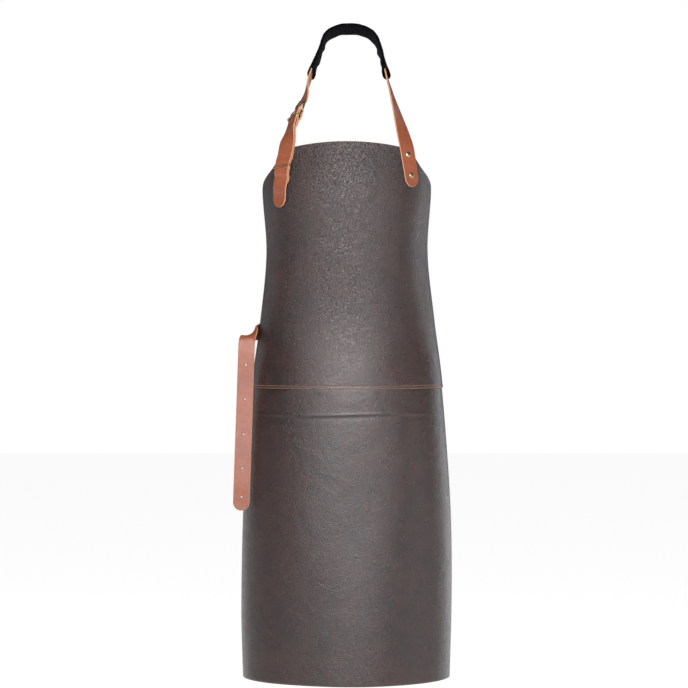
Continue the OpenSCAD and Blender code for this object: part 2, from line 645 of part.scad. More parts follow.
module waist_buckle_frame() { at_waist_buckle() buckle_frame(); }
module waist_buckle_prong() { at_waist_buckle() buckle_prong(); }
module waist_keeper() { color("darkgoldenrod") at_waist_buckle() keeper(); }

// The origin: the sleeve's inner face at the back of the neck
rest = loop_at(6) - loop_normal(6) * sleeve_d;
module placed() { translate([0, -rest[1], -rest[2]]) children(); }

placed() neck_strap();
placed() neck_sleeve();
placed() neck_buckle_strap();
placed() neck_fold_rivet_cap();
placed() neck_fold_rivet_back();
placed() neck_buckle_frame();
placed() neck_buckle_prong();
placed() neck_keeper();
placed() bib_panel();
placed() skirt_panel();
placed() waist_seam_thread();
placed() neck_strap_end();
placed() neck_buckle_strap_end();
placed() neck_strap_tip();
placed() bib_rivet_caps();
placed() bib_rivet_backs();
placed() tail_ring();
placed() waist_strap();
placed() waist_buckle_strap();
placed() waist_rivet_caps();
placed() waist_rivet_backs();
placed() waist_fold_rivet_cap();
placed() waist_fold_rivet_back();
placed() waist_buckle_frame();
placed() waist_buckle_prong();
placed() waist_keeper();
placed() waist_strap_tail();
placed() neck_strap_slot_sides();
placed() neck_fold_sides();
placed() waist_strap_slot_sides();
placed() waist_fold_sides();
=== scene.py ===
"""Visual model of a leather welding apron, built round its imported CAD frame."""
import math

import bpy
import numpy as np
from mathutils import Matrix, Vector

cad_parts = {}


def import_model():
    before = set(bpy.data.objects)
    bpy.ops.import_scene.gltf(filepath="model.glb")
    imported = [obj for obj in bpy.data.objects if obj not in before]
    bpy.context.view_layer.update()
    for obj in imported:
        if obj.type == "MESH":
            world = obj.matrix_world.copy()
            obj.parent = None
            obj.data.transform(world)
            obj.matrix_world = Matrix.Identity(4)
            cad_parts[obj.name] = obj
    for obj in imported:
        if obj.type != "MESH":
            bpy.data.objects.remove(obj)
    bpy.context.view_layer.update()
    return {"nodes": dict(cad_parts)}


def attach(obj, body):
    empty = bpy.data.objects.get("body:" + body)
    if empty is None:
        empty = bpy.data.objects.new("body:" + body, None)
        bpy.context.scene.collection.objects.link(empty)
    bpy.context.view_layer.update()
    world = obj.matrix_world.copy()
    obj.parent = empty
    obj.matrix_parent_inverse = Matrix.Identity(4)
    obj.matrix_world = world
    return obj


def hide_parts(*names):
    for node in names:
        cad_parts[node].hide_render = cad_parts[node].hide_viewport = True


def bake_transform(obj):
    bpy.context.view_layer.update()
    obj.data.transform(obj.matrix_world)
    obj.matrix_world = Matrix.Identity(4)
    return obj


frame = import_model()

MM = 0.001

# ---------------------------------------------------------------- sizes, in millimetres

PANEL_T = 1.8
SIDE_S = 300.0
SEAM_H = 524.0
LAP = 12.0
CORNER_H = 951.0
TOP_RISE = 12.0
STRAP_R = 15.0
STRAP_T = 2.6
HALF_T = STRAP_T / 2
GAP = 0.2
LAY = PANEL_T + GAP + HALF_T
FLEX_H = 957.0
WAIST_H = 648.0
LEAN = 5.0
TAIL_LIFT = 4.0
SLEEVE_D = 3.4
SLEEVE_W = 19.0
STITCH_PITCH = 4.0
STITCH_UP = 4.5
CREASE_H = 478.0

# The wearer's body as sections at (height, half-width, half-depth)
FORM = np.array([(0, 188, 132), (120, 191, 130), (280, 189, 127), (430, 181, 124), (540, 171, 120),
                 (650, 156, 115), (770, 144.5, 112), (885, 152, 108), (965, 150, 92)], float)
# Half-width of the cut leather up the armhole at (height, half-width)
ARMHOLE = np.array([(700, SIDE_S), (770, 283), (840, 246), (890, 193), (918, 148), (CORNER_H, 118)], float)
# Each half of the neck loop at (step, half-width, distance up the loop)
LOOP_RIGHT = [(1, 90, 70), (2, 69, 160), (3, 58.5, 210), (4, 46, 246), (5, 23, 263), (6, 0, 267)]
LOOP_LEFT = [(1, 90, 70), (2, 68.5, 160), (3, 54, 210), (4, 44, 246), (5, 23, 263)]
# How far the right half has twisted out of the bib's line at (distance up the loop, share)
TWIST_RIGHT = np.array([(0, 0), (40, 0.22), (75, 0.4), (125, 0.62), (170, 0.82), (215, 1), (267, 1)])
LOOP_DIR = np.array([0, 0.513, 0.858])
LOOP_ACROSS = np.array([0, -0.858, 0.513])
NAPE_ACROSS = np.array([0, -0.94, 0.342])
LOOP_TWIST = 150.0
LOOP_BOW = 7.0
LOOP_BOW_LEN = 130.0
LOOP_TOP = 267.0
HEEL_STEP = 11.0
HOLD = 32.0
HOLD_EASE = 40.0

STRAP_S0 = 108.9
STRAP_LEAN = 0.2
END_H = 884.0
RIVET_H = (940.0, 903.0)
HIDDEN_RIVET_H = (941.0, 896.0)
RING_H = 918.0
RING_BUMP = 2.95
TIP_H = 848.0
TIP_HOLES = (872.0, 918.0)
PUNCH_R = 1.5
POST_R = 1.6

OUTER_U = 26.0
FOLD_R = 1.95 + HALF_T
PINCH_U = 24.0
FOLD_FLAT = 14.0
FOLD_FADE = 24.0
SEAT = 0.15
FLAP_U = 34.0
FOLD_RIVET_U = 27.0
ALONG = 1.03
SLOT_W = 4.6

RIM_RIVETS = (286.0, 262.0)
RIM_END = 248.0
HEEL_GAP = 48.0
BEND = [(-169, -12, 622), (-173.5, -28, 620), (-179.5, -37, 612)]
EXIT_DROP = 22
EXIT_RUN = 90
BEND_N = [(-0.95, -0.05, 0.3), (-0.5, -0.25, 0.83), (-0.1, -0.9, 0.42)]
TAIL_TOP = np.array([-181.0, -40.0, 596.0])
TAIL_END = np.array([-190, -56, 305])
TAIL_HOLES = (24.0, 75.0, 137.0, 199.0, 261.0)


# ---------------------------------------------------------------- curves and places

def unit(v):
    v = np.asarray(v, float)
    return v / np.maximum(np.linalg.norm(v, axis=-1, keepdims=True), 1e-12)


def smooth(t):
    t = np.clip(t, 0, 1)
    return t * t * (3 - 2 * t)


def mix(a, b, t):
    return a + (b - a) * t


def flip(v):
    return np.asarray(v, float) * np.array([-1, 1, 1])


def through(stations, x):
    """Values of a cubic curve through stations whose first value is where they stand."""
    x = np.asarray(x, float)
    keys, vals = stations[:, 0], stations[:, 1:]
    slopes = np.array([(vals[min(i + 1, len(keys) - 1)] - vals[max(i - 1, 0)])
                       / (keys[min(i + 1, len(keys) - 1)] - keys[max(i - 1, 0)]) for i in range(len(keys))])
    i = np.clip(np.searchsorted(keys, x, side="left") - 1, 0, len(keys) - 2)
    d = keys[i + 1] - keys[i]
    t = ((x - keys[i]) / d)[..., None]
    d = d[..., None]
    return ((2 * t**3 - 3 * t**2 + 1) * vals[i] + (t**3 - 2 * t**2 + t) * slopes[i] * d
            + (3 * t**2 - 2 * t**3) * vals[i + 1] + (t**3 - t**2) * slopes[i + 1] * d)


ANGLES = np.radians(np.arange(0, 360.01, 2.5))


def arc_lengths(h):
    """Distance round the wearer at each of ANGLES, for each height."""
    ab = through(FORM, h)
    a, b = ab[..., :1], ab[..., 1:]
    steps = np.hypot(a * np.diff(np.sin(ANGLES)), b * np.diff(np.cos(ANGLES)))
    return np.concatenate([np.zeros(steps.shape[:-1] + (1,)), np.cumsum(steps, axis=-1)], axis=-1)


def surface(s, h):
    """The point on the wearer s round from the front at height h, and the normal there."""
    s, h = np.broadcast_arrays(np.asarray(s, float), np.asarray(h, float))
    flat_s, flat_h = s.ravel(), h.ravel()
    table = arc_lengths(flat_h)
    f = np.array([np.interp(abs(q), row, ANGLES) for q, row in zip(flat_s, table)]) * np.sign(flat_s + 1e-12)
    ab = through(FORM, flat_h)
    p = np.stack([ab[:, 0] * np.sin(f), -ab[:, 1] * np.cos(f), flat_h], axis=-1)
    n = unit(np.stack([ab[:, 1] * np.sin(f), -ab[:, 0] * np.cos(f), np.zeros_like(f)], axis=-1))
    return p.reshape(s.shape + (3,)), n.reshape(s.shape + (3,))


def place(s, h, out):
    p, n = surface(s, h)
    return p + n * np.asarray(out, float)[..., None]


def facing(s, h):
    """The direction square to the leather, with the body's slope up and down in it."""
    n = surface(s, h)[1]
    rise = place(s, np.asarray(h, float) + 2, 0) - place(s, np.asarray(h, float) - 2, 0)
    lean = np.sum(rise * n, axis=-1) / rise[..., 2]
    return unit(n - lean[..., None] * np.array([0, 0, 1]))


def girth(h):
    return float(arc_lengths(np.array(h))[-1])


def cut_half(h):
    h = np.asarray(h, float)
    return np.where(h <= ARMHOLE[0, 0], SIDE_S, through(ARMHOLE, np.minimum(h, CORNER_H))[..., 0])


def strap_s(h):
    return STRAP_S0 + STRAP_LEAN * (FLEX_H - h)


def bump(h):
    return RING_BUMP * (1 - smooth((np.abs(h - RING_H) - 11) / 6))


FLEX = place(STRAP_S0, FLEX_H, LAY)
FLEX_N = surface(STRAP_S0, FLEX_H)[1]
LOOP = np.array([(0, FLEX[0], 0)] + LOOP_RIGHT + [(12 - i, -x, w) for i, x, w in reversed(LOOP_LEFT)]
                + [(12, -FLEX[0], 0)], float)


def loop_up(q):
    return through(LOOP, q)[..., 1]


def spine(q):
    x, w = np.moveaxis(through(LOOP, q), -1, 0)
    bow = np.where(w < LOOP_BOW_LEN, LOOP_BOW * np.sin(np.pi * w / LOOP_BOW_LEN), 0)
    base = np.stack([x + LEAN * w / LOOP_TOP, FLEX[1] - bow, np.full_like(w, FLEX_H)], axis=-1)
    return base + w[..., None] * LOOP_DIR


def square_to(n, t):
    return unit(n - t * np.sum(n * t, axis=-1, keepdims=True))


def spine_along(q):
    q = np.asarray(q, float)
    return unit(spine(np.minimum(q + 0.02, 12)) - spine(np.maximum(q - 0.02, 0)))


def spine_normal(q):
    q = np.asarray(q, float)
    t, up = spine_along(q), loop_up(q)
    across = unit(mix(LOOP_ACROSS, NAPE_ACROSS, smooth((up - LOOP_TWIST) / 80)[..., None]))
    edge = np.where((q < 6)[..., None], FLEX_N, flip(FLEX_N))
    twist = np.where(q < 6, np.clip(through(TWIST_RIGHT, up)[..., 0], 0, 1), smooth(up / LOOP_TWIST))
    return square_to(unit(mix(edge, unit(np.cross(t, across)), twist[..., None])), t)


def from_heel(q):
    return (loop_up(q) - loop_up(np.array(HEEL_STEP))) * ALONG


HEEL = spine(np.array(HEEL_STEP))
HEEL_U = -spine_along(HEEL_STEP)
HEEL_N = spine_normal(HEEL_STEP)


def ease(q):
    """How far a point of the loop is free of the buckle, which holds the strap straight and flat."""
    return np.where(q < 9, 1.0, smooth((np.abs(from_heel(q)) - HOLD) / HOLD_EASE))[..., None]


def loop_at(q):
    q = np.asarray(q, float)
    return mix(HEEL + HEEL_U * from_heel(q)[..., None], spine(q), ease(q))


def loop_along(q):
    q = np.asarray(q, float)
    return unit(loop_at(np.minimum(q + 0.02, 12)) - loop_at(np.maximum(q - 0.02, 0)))


def loop_normal(q):
    q = np.asarray(q, float)
    return square_to(unit(mix(HEEL_N, spine_normal(q), ease(q))), loop_along(q))


def fold_lift(u, low):
    pinched = HALF_T + SEAT
    inner = mix(FOLD_R, pinched, smooth((-FOLD_FLAT - u) / (PINCH_U - FOLD_FLAT)))
    outer = mix(pinched, low, smooth((-FLAP_U - u) / FOLD_FADE))
    return np.where(u > -FOLD_FLAT, FOLD_R, np.where(u > -PINCH_U, inner, outer))


def top_lift(u):
    high = FOLD_R + STRAP_T + 0.3
    return np.where(u > OUTER_U, mix(-3.35, 0, smooth((u - OUTER_U) / 40)),
                    np.where(u > 0, mix(high, -3.35, smooth(u / OUTER_U)),
                             np.where(u > -PINCH_U, mix(high, 5.35, smooth((-14 - u) / (PINCH_U - 14))),
                                      mix(5.35, TAIL_LIFT, smooth((-u - FLAP_U) / 22)))))


# The CAD's origin, seen from the foot of the wearer's body
REST = loop_at(np.array(6.0)) - loop_normal(np.array(6.0)) * SLEEVE_D
SHIFT = np.array([0, REST[1], REST[2]])


def world(p):
    return (np.asarray(p, float) - SHIFT) * MM


# ---------------------------------------------------------------- materials

class Graph:
    """A short way to write a procedural material."""

    def __init__(self, name):
        self.mat = bpy.data.materials.new(name)
        self.mat.use_nodes = True
        self.tree = self.mat.node_tree
        self.bsdf = next(n for n in self.tree.nodes if n.type == "BSDF_PRINCIPLED")
        self.coords = self.tree.nodes.new("ShaderNodeTexCoord").outputs["Object"]

    def node(self, kind, values=None, **props):
        n = self.tree.nodes.new(kind)
        for key, value in props.items():
            setattr(n, key, value)
        for key, value in (values or {}).items():
            if isinstance(value, bpy.types.NodeSocket):
                self.tree.links.new(value, n.inputs[key])
            else:
                n.inputs[key].default_value = value
        return n

    def noise(self, scale, detail=3.0, rough=0.55, warp=0.0, vector=None):
        values = {"Vector": vector or self.coords, "Scale": scale, "Detail": detail,
                  "Roughness": rough, "Distortion": warp}
        return self.node("ShaderNodeTexNoise", values).outputs["Fac"]

    def cells(self, scale, feature="F1", vector=None):
        values = {"Vector": vector or self.coords, "Scale": scale}
        return self.node("ShaderNodeTexVoronoi", values, feature=feature).outputs["Distance"]

    def ramp(self, value, low, high, to_low=0.0, to_high=1.0):
        values = {"Value": value, "From Min": low, "From Max": high, "To Min": to_low, "To Max": to_high}
        return self.node("ShaderNodeMapRange", values, clamp=True).outputs["Result"]

    def math(self, what, a, b=0.0):
        return self.node("ShaderNodeMath", {0: a, 1: b}, operation=what).outputs[0]

    def colour(self, fac, a, b):
        n = self.node("ShaderNodeMix", data_type="RGBA")
        for index, value in ((0, fac), (6, a), (7, b)):
            if isinstance(value, bpy.types.NodeSocket):
                self.tree.links.new(value, n.inputs[index])
            elif index == 0:
                n.inputs[index].default_value = value
            else:
                n.inputs[index].default_value = (*value, 1.0)
        return n.outputs[2]

    def attribute(self, name):
        return self.node("ShaderNodeAttribute", attribute_name=name).outputs["Fac"]

    def bump(self, height, distance, strength=1.0, below=None):
        values = {"Height": height, "Distance": distance, "Strength": strength}
        if below is not None:
            values["Normal"] = below
        return self.node("ShaderNodeBump", values).outputs["Normal"]

    def finish(self, links=None, **fixed):
        for key, socket in (links or {}).items():
            self.tree.links.new(socket, self.bsdf.inputs[key])
        for key, value in fixed.items():
            self.bsdf.inputs[key.replace("_", " ")].default_value = value
        return self.mat


def panel_leather():
    """Waxed dark brown hide with a pebbled grain, reddish where the wax is thin."""
    g = Graph("apron_leather_grain")
    broad = g.ramp(g.noise(7, 4, 0.6, 0.6), 0.38, 0.64)
    patch = g.ramp(g.noise(38, 5, 0.65), 0.42, 0.66)
    base = g.colour(broad, (0.0155, 0.0082, 0.0078), (0.029, 0.0122, 0.0100))
    base = g.colour(g.math("MULTIPLY", patch, 0.5), base, (0.046, 0.0175, 0.0125))
    pebble = g.cells(640, vector=g.coords)
    pores = g.ramp(pebble, 0.05, 0.55)
    base = g.colour(g.math("MULTIPLY", pores, 0.35), base, (0.009, 0.0065, 0.007))
    worn = g.ramp(g.attribute("rim"), 0.2, 1.0)
    base = g.colour(g.math("MULTIPLY", worn, 0.45), base, (0.10, 0.058, 0.040))
    fine = g.noise(900, 4, 0.6)
    height = g.math("ADD", g.math("MULTIPLY", pores, -1.0), fine)
    up = g.node("ShaderNodeSeparateXYZ", {"Vector": g.coords}).outputs["Z"]
    height = g.math("MULTIPLY", height, g.ramp(up, -0.62, -0.48, 0.4, 1.0))
    wrinkle = g.noise(90, 5, 0.6, 1.2)
    swell = g.bump(g.noise(14, 4, 0.55, 0.8), 0.0035, 0.35)
    soft = g.bump(wrinkle, 0.0009, 0.55, swell)
    normal = g.bump(height, 0.0006, 0.9, soft)
    rough = g.ramp(g.noise(60, 4, 0.6), 0.3, 0.7, 0.26, 0.36)
    return g.finish({"Base Color": base, "Normal": normal, "Roughness": rough}, Specular_IOR_Level=0.6)


def flesh_side():
    """The napped inner face of the hide."""
    g = Graph("leather_flesh_side")
    nap = g.noise(260, 6, 0.7)
    cloud = g.ramp(g.noise(11, 4, 0.6), 0.35, 0.65)
    base = g.colour(cloud, (0.105, 0.070, 0.052), (0.150, 0.102, 0.074))
    base = g.colour(g.ramp(nap, 0.4, 0.7, 0.0, 0.5), base, (0.075, 0.050, 0.040))
    normal = g.bump(nap, 0.0008, 0.7)
    return g.finish({"Base Color": base, "Normal": normal}, Roughness=0.93, Sheen_Weight=0.15)


def raw_edge(name, light, dark):
    """A cut edge, where the fibre shows."""
    g = Graph(name)
    fibre = g.noise(600, 5, 0.7)
    base = g.colour(g.ramp(fibre, 0.35, 0.65), dark, light)
    return g.finish({"Base Color": base, "Normal": g.bump(fibre, 0.0004, 0.6)}, Roughness=0.78)


def strap_leather():
    """Smooth cognac bridle leather, darker in the pores and at handled places."""
    g = Graph("strap_leather_tan")
    broad = g.ramp(g.noise(16, 4, 0.6, 0.4), 0.35, 0.65)
    base = g.colour(broad, (0.190, 0.051, 0.0225), (0.240, 0.069, 0.030))
    streak = g.ramp(g.noise(110, 5, 0.6), 0.45, 0.7, 0.0, 0.5)
    base = g.colour(streak, base, (0.150, 0.038, 0.0175))
    pores = g.ramp(g.cells(1100), 0.02, 0.35, 1.0, 0.0)
    base = g.colour(g.math("MULTIPLY", pores, 0.22), base, (0.150, 0.042, 0.020))
    burnish = g.ramp(g.attribute("rim"), 0.35, 1.0)
    base = g.colour(g.math("MULTIPLY", burnish, 0.55), base, (0.185, 0.055, 0.026))
    fine = g.noise(1000, 4, 0.6)
    height = g.math("ADD", fine, g.math("MULTIPLY", pores, -0.8))
    normal = g.bump(height, 0.00014, 0.7, g.bump(g.noise(70, 3), 0.0006, 0.25))
    rough = g.ramp(g.noise(120, 3), 0.3, 0.7, 0.36, 0.48)
    return g.finish({"Base Color": base, "Normal": normal, "Roughness": rough}, Specular_IOR_Level=0.5)


def strap_flesh():
    g = Graph("strap_flesh_side")
    nap = g.noise(380, 6, 0.7)
    base = g.colour(g.ramp(nap, 0.35, 0.65), (0.30, 0.145, 0.075), (0.40, 0.215, 0.12))
    return g.finish({"Base Color": base, "Normal": g.bump(nap, 0.0005, 0.6)}, Roughness=0.85)


def antique_brass():
    """Brass under a dark patina in random patches, brighter and duller in broad clouds."""
    g = Graph("antique_brass")
    tarnish = g.ramp(g.noise(420, 5, 0.65), 0.40, 0.62)
    cloud = g.ramp(g.noise(120, 3, 0.5), 0.3, 0.7)
    base = g.colour(cloud, (0.44, 0.345, 0.205), (0.34, 0.27, 0.165))
    base = g.colour(g.math("MULTIPLY", tarnish, 0.6), base, (0.14, 0.105, 0.065))
    rough = g.ramp(tarnish, 0.0, 1.0, 0.27, 0.5)
    normal = g.bump(g.noise(1500, 4, 0.6), 0.00008, 0.5)
    return g.finish({"Base Color": base, "Roughness": rough, "Normal": normal}, Metallic=1.0)


def sleeve_fabric():
    """Close plain weave in blue-black cotton; the weave follows the flat cloth."""
    g = Graph("sleeve_black_weave")
    uv = g.node("ShaderNodeUVMap", uv_map="flat").outputs["UV"]
    waves = []
    for direction in ("X", "Y"):
        n = g.node("ShaderNodeTexWave", {"Vector": uv, "Scale": 320.0, "Distortion": 0.35, "Detail": 2.0,
                                         "Detail Scale": 3.0}, wave_type="BANDS", bands_direction=direction)
        waves.append(n.outputs["Fac"])
    weave = g.math("MULTIPLY", waves[0], waves[1])
    lint = g.noise(700, 5, 0.7)
    base = g.colour(g.ramp(weave, 0.0, 0.8), (0.0008, 0.0008, 0.0013), (0.0024, 0.0026, 0.0046))
    base = g.colour(g.ramp(lint, 0.66, 0.85, 0.0, 0.25), base, (0.010, 0.0105, 0.014))
    normal = g.bump(weave, 0.0003, 0.8, g.bump(g.noise(240, 4), 0.0008, 0.35))
    return g.finish({"Base Color": base, "Normal": normal}, Roughness=0.95, Specular_IOR_Level=0.03,
                    Sheen_Weight=0.02)


def thread_material(name, light, dark):
    g = Graph(name)
    twist = g.noise(1400, 4, 0.6, 1.5)
    base = g.colour(g.ramp(twist, 0.35, 0.65), dark, light)
    return g.finish({"Base Color": base, "Normal": g.bump(twist, 0.0003, 0.8)}, Roughness=0.62)


MATS = {
    "panel": panel_leather(),
    "flesh": flesh_side(),
    "panel_edge": raw_edge("apron_leather_cut_edge", (0.34, 0.235, 0.165), (0.15, 0.095, 0.065)),
    "strap": strap_leather(),
    "strap_flesh": strap_flesh(),
    "strap_edge": raw_edge("strap_leather_cut_edge", (0.56, 0.30, 0.17), (0.34, 0.145, 0.07)),
    "brass": antique_brass(),
    "fabric": sleeve_fabric(),
    "thread": thread_material("waist_seam_thread_tan", (0.40, 0.19, 0.105), (0.19, 0.075, 0.04)),
    "black_thread": thread_material("sleeve_thread_black", (0.03, 0.032, 0.045), (0.008, 0.008, 0.012)),
}


# ---------------------------------------------------------------- mesh making

def mesh_object(name, verts, faces, mats, face_mats=None, attributes=None, uv=None):
    mesh = bpy.data.meshes.new(name)
    mesh.from_pydata([tuple(v) for v in verts], [], [tuple(f) for f in faces])
    for m in mats:
        mesh.materials.append(MATS[m])
    if face_mats is not None:
        mesh.polygons.foreach_set("material_index", np.asarray(face_mats, np.int32))
    for key, values in (attributes or {}).items():
        a = mesh.attributes.new(key, "FLOAT", "POINT")
        a.data.foreach_set("value", np.asarray(values, np.float32))
    if uv is not None:
        layer = mesh.uv_layers.new(name="flat")
        loops = np.zeros(len(mesh.loops), np.int32)
        mesh.loops.foreach_get("vertex_index", loops)
        layer.data.foreach_set("uv", np.asarray(uv, np.float32)[loops].ravel())
    mesh.polygons.foreach_set("use_smooth", np.ones(len(mesh.polygons), bool))
    mesh.update()
    obj = bpy.data.objects.new(name, mesh)
    bpy.context.scene.collection.objects.link(obj)
    return obj


def hide_solid(name, points, normals, thick, mats, flat, rim, edge=0.55, rounds=5):
    """A hide: a grid of points at mid-thickness with a grain face, a flesh face and rounded cut edges.

    points and normals are rows x columns x 3, in millimetres.
    mats names the grain, flesh and edge materials."""
    rows, cols = points.shape[:2]
    half = thick / 2
    front = points + normals * half
    back = points - normals * half
    ids = np.arange(rows * cols).reshape(rows, cols)
    back_ids = ids + rows * cols
    border = np.concatenate([ids[0, :], ids[1:, -1], ids[-1, -2::-1], ids[-2:0:-1, 0]])
    mid = points.reshape(-1, 3)[border]
    nrm = normals.reshape(-1, 3)[border]
    t = unit(np.roll(mid, -1, axis=0) - np.roll(mid, 1, axis=0))
    away = unit(np.cross(t, nrm))
    verts = [front.reshape(-1, 3), back.reshape(-1, 3)]
    rings = [border]
    count = 2 * rows * cols
    for k in range(1, rounds):
        a = math.pi / 2 - math.pi * k / rounds
        verts.append(mid + away * (half * edge * math.cos(a)) + nrm * (half * math.sin(a)))
        rings.append(np.arange(count, count + len(border)))
        count += len(border)
    rings.append(border + rows * cols)
    a, b, c, d = ids[:-1, :-1], ids[:-1, 1:], ids[1:, 1:], ids[1:, :-1]
    faces = [np.stack([a, b, c, d], -1).reshape(-1, 4)]
    a, b, c, d = back_ids[:-1, :-1], back_ids[:-1, 1:], back_ids[1:, 1:], back_ids[1:, :-1]
    faces.append(np.stack([a, d, c, b], -1).reshape(-1, 4))
    kinds = [np.zeros(len(faces[0])), np.ones(len(faces[1]))]
    for r0, r1 in zip(rings[:-1], rings[1:]):
        nxt0, nxt1 = np.roll(r0, -1), np.roll(r1, -1)
        faces.append(np.stack([r0, r1, nxt1, nxt0], -1))
        kinds.append(np.full(len(r0), 2))
    flat = flat.reshape(-1, 2)
    rim = rim.reshape(-1)
    extra = len(rings) - 2
    all_flat = np.concatenate([flat, flat] + [flat[border]] * extra)
    all_rim = np.concatenate([rim, rim] + [np.ones(len(border))] * extra)
    return mesh_object(name, world(np.concatenate(verts)), np.concatenate(faces), mats,
                       np.concatenate(kinds), {"rim": all_rim}, all_flat * MM)


def punch(obj, cutters, edge_mat):
    """Cuts round or slotted holes; each cutter is a closed mesh object that is then removed."""
    bpy.ops.object.select_all(action="DESELECT")
    for c in cutters:
        c.data.materials.clear()
        c.data.materials.append(MATS[edge_mat])
    tool = cutters[0]
    if len(cutters) > 1:
        with bpy.context.temp_override(active_object=tool, selected_editable_objects=cutters, object=tool):
            bpy.ops.object.join()
    mod = obj.modifiers.new("punch", "BOOLEAN")
    mod.operation = "DIFFERENCE"
    mod.solver = "EXACT"
    mod.object = tool
    deps = bpy.context.evaluated_depsgraph_get()
    mesh = bpy.data.meshes.new_from_object(obj.evaluated_get(deps), depsgraph=deps)
    obj.modifiers.clear()
    obj.data = mesh
    bpy.data.objects.remove(tool)


def frame_matrix(p, u, n):
    """x along u, y across and z out along n, at p in millimetres on the body."""
    u, n = unit(u), unit(n)
    w = np.cross(n, u)
    m = Matrix.Identity(4)
    for i in range(3):
        m[i][0], m[i][1], m[i][2] = u[i], w[i], n[i]
    m.translation = Vector(world(p))
    return m


def slot_cutter(at, x0, x1, radius, z0, z1, segments=20):
    """A closed slot-shaped cutter from x0 to x1, in the frame at; a round hole where they are equal."""
    half = segments // 2
    outline = [(x1 + radius * math.sin(math.pi * k / half), -radius * math.cos(math.pi * k / half))
               for k in range(half + (0 if x0 == x1 else 1))]
    outline += [(x0 - radius * math.sin(math.pi * k / half), radius * math.cos(math.pi * k / half))
                for k in range(half + (0 if x0 == x1 else 1))]
    n = len(outline)
    verts = [at @ Vector((x * MM, y * MM, z * MM)) for z in (z0, z1) for x, y in outline]
    faces = [list(range(n))[::-1], list(range(n, 2 * n))]
    faces += [[k, (k + 1) % n, n + (k + 1) % n, n + k] for k in range(n)]
    mesh = bpy.data.meshes.new("cutter")
    mesh.from_pydata(verts, [], faces)
    obj = bpy.data.objects.new("cutter", mesh)
    bpy.context.scene.collection.objects.link(obj)
    return obj


ACROSS = np.array([-1, -0.94, -0.82, -0.6, -0.3, 0, 0.3, 0.6, 0.82, 0.94, 1])


def strap_piece(name, points, normals, round_start=False, round_end=False, thick=STRAP_T):
    """A leather strap along points, facing the normals, with either end cut round."""
    d = np.concatenate([[0], np.cumsum(np.linalg.norm(np.diff(points, axis=0), axis=1))])
    t = np.empty_like(points)
    t[1:-1] = points[2:] - points[:-2]
    t[0], t[-1] = points[1] - points[0], points[-1] - points[-2]
    t = unit(t)
    b = unit(np.cross(t, normals))
    m = np.cross(b, t)
    edge = 0.55 * thick / 2
    radius = STRAP_R - edge
    half = np.full(len(d), radius)
    for wanted, gone in ((round_start, d), (round_end, d[-1] - d)):
        if wanted:
            x = np.clip(gone / radius, 0, 1)
            half = np.minimum(half, radius * np.sqrt(np.maximum(1 - (1 - x) ** 2, 0.0016)))
    grid = points[:, None, :] + b[:, None, :] * (half[:, None] * ACROSS)[..., None]
    crown = 0.12 * (1 - ACROSS ** 2) - 0.10
    grid = grid + m[:, None, :] * (crown[None, :, None] * (half / radius)[:, None, None])
    normal = np.repeat(m[:, None, :], len(ACROSS), axis=1)
    flat = np.stack(np.broadcast_arrays(d[:, None], half[:, None] * ACROSS), -1)
    away = radius - np.abs(half[:, None] * ACROSS)
    end = np.full(len(d), 99.0)
    if round_start:
        end = np.minimum(end, d)
    if round_end:
        end = np.minimum(end, d[-1] - d)
    from_side = half[:, None] * (1 - np.abs(ACROSS))
    rim = np.clip(1 - np.minimum(np.minimum(away, from_side), end[:, None]) / 3.0, 0, 1)
    return hide_solid(name, grid, normal, thick, ("strap", "strap_flesh", "strap_edge"), flat, rim)


def end_rows(radius=STRAP_R):
    """Distances from a round end that trace its curve evenly."""
    a = np.radians(np.linspace(0, 90, 12))
    return (1 - np.cos(a)) * radius * 0.98


def capsule_rows(points, radius, sides=8):
    """Vertices and faces of a small closed rod along points."""
    p = np.asarray(points, float)
    t = np.gradient(p, axis=0)
    t = unit(t)
    x = unit(np.cross(t, [0.013, 0.021, 1.0]))
    y = np.cross(t, x)
    a = np.arange(sides) * 2 * math.pi / sides
    prof = np.sin(np.linspace(0.28, math.pi - 0.28, len(p))) ** 0.5
    ring = p[:, None, :] + radius * prof[:, None, None] * (x[:, None, :] * np.cos(a)[None, :, None]
                                                         + y[:, None, :] * np.sin(a)[None, :, None])
    verts = ring.reshape(-1, 3)
    faces = []
    for i in range(len(p) - 1):
        for j in range(sides):
            k = (j + 1) % sides
            faces.append((i * sides + j, i * sides + k, (i + 1) * sides + k, (i + 1) * sides + j))
    caps = [tuple(range(sides))[::-1], tuple((len(p) - 1) * sides + j for j in range(sides))]
    return verts, faces, caps


def many_rods(name, paths, radius, mat, sides=8):
    verts, faces, base = [], [], 0
    for path in paths:
        v, f, caps = capsule_rows(path, radius, sides)
        verts.append(v)
        faces += [tuple(i + base for i in q) for q in f + caps]
        base += len(v)
    return mesh_object(name, world(np.concatenate(verts)), faces, (mat,))


# ---------------------------------------------------------------- the hides

def relief(s, h):
    """Slow unevenness of the hide off the wearer's form; nothing under the straps and rivets."""
    swell = (0.9 * np.sin(s / 61.0 + h / 190.0) * np.sin(h / 97.0 + 0.6)
             + 0.5 * np.sin(s / 27.0 - h / 83.0 + 1.3))
    drape = 1.6 * np.sin(s / 46.0 + 0.8) * smooth((360 - h) / 360)
    near_strap = np.exp(-((np.abs(s) - strap_s(h)) / 26) ** 2) * smooth((h - 815) / 40)
    near_waist = np.exp(-((h - WAIST_H) / 34) ** 2) * smooth((np.abs(s) - 205) / 30)
    near_seam = np.exp(-((h - SEAM_H - 3) / 16) ** 2)
    calm = np.clip(1 - near_strap - near_waist - 0.75 * near_seam, 0, 1)
    return (swell + drape) * calm


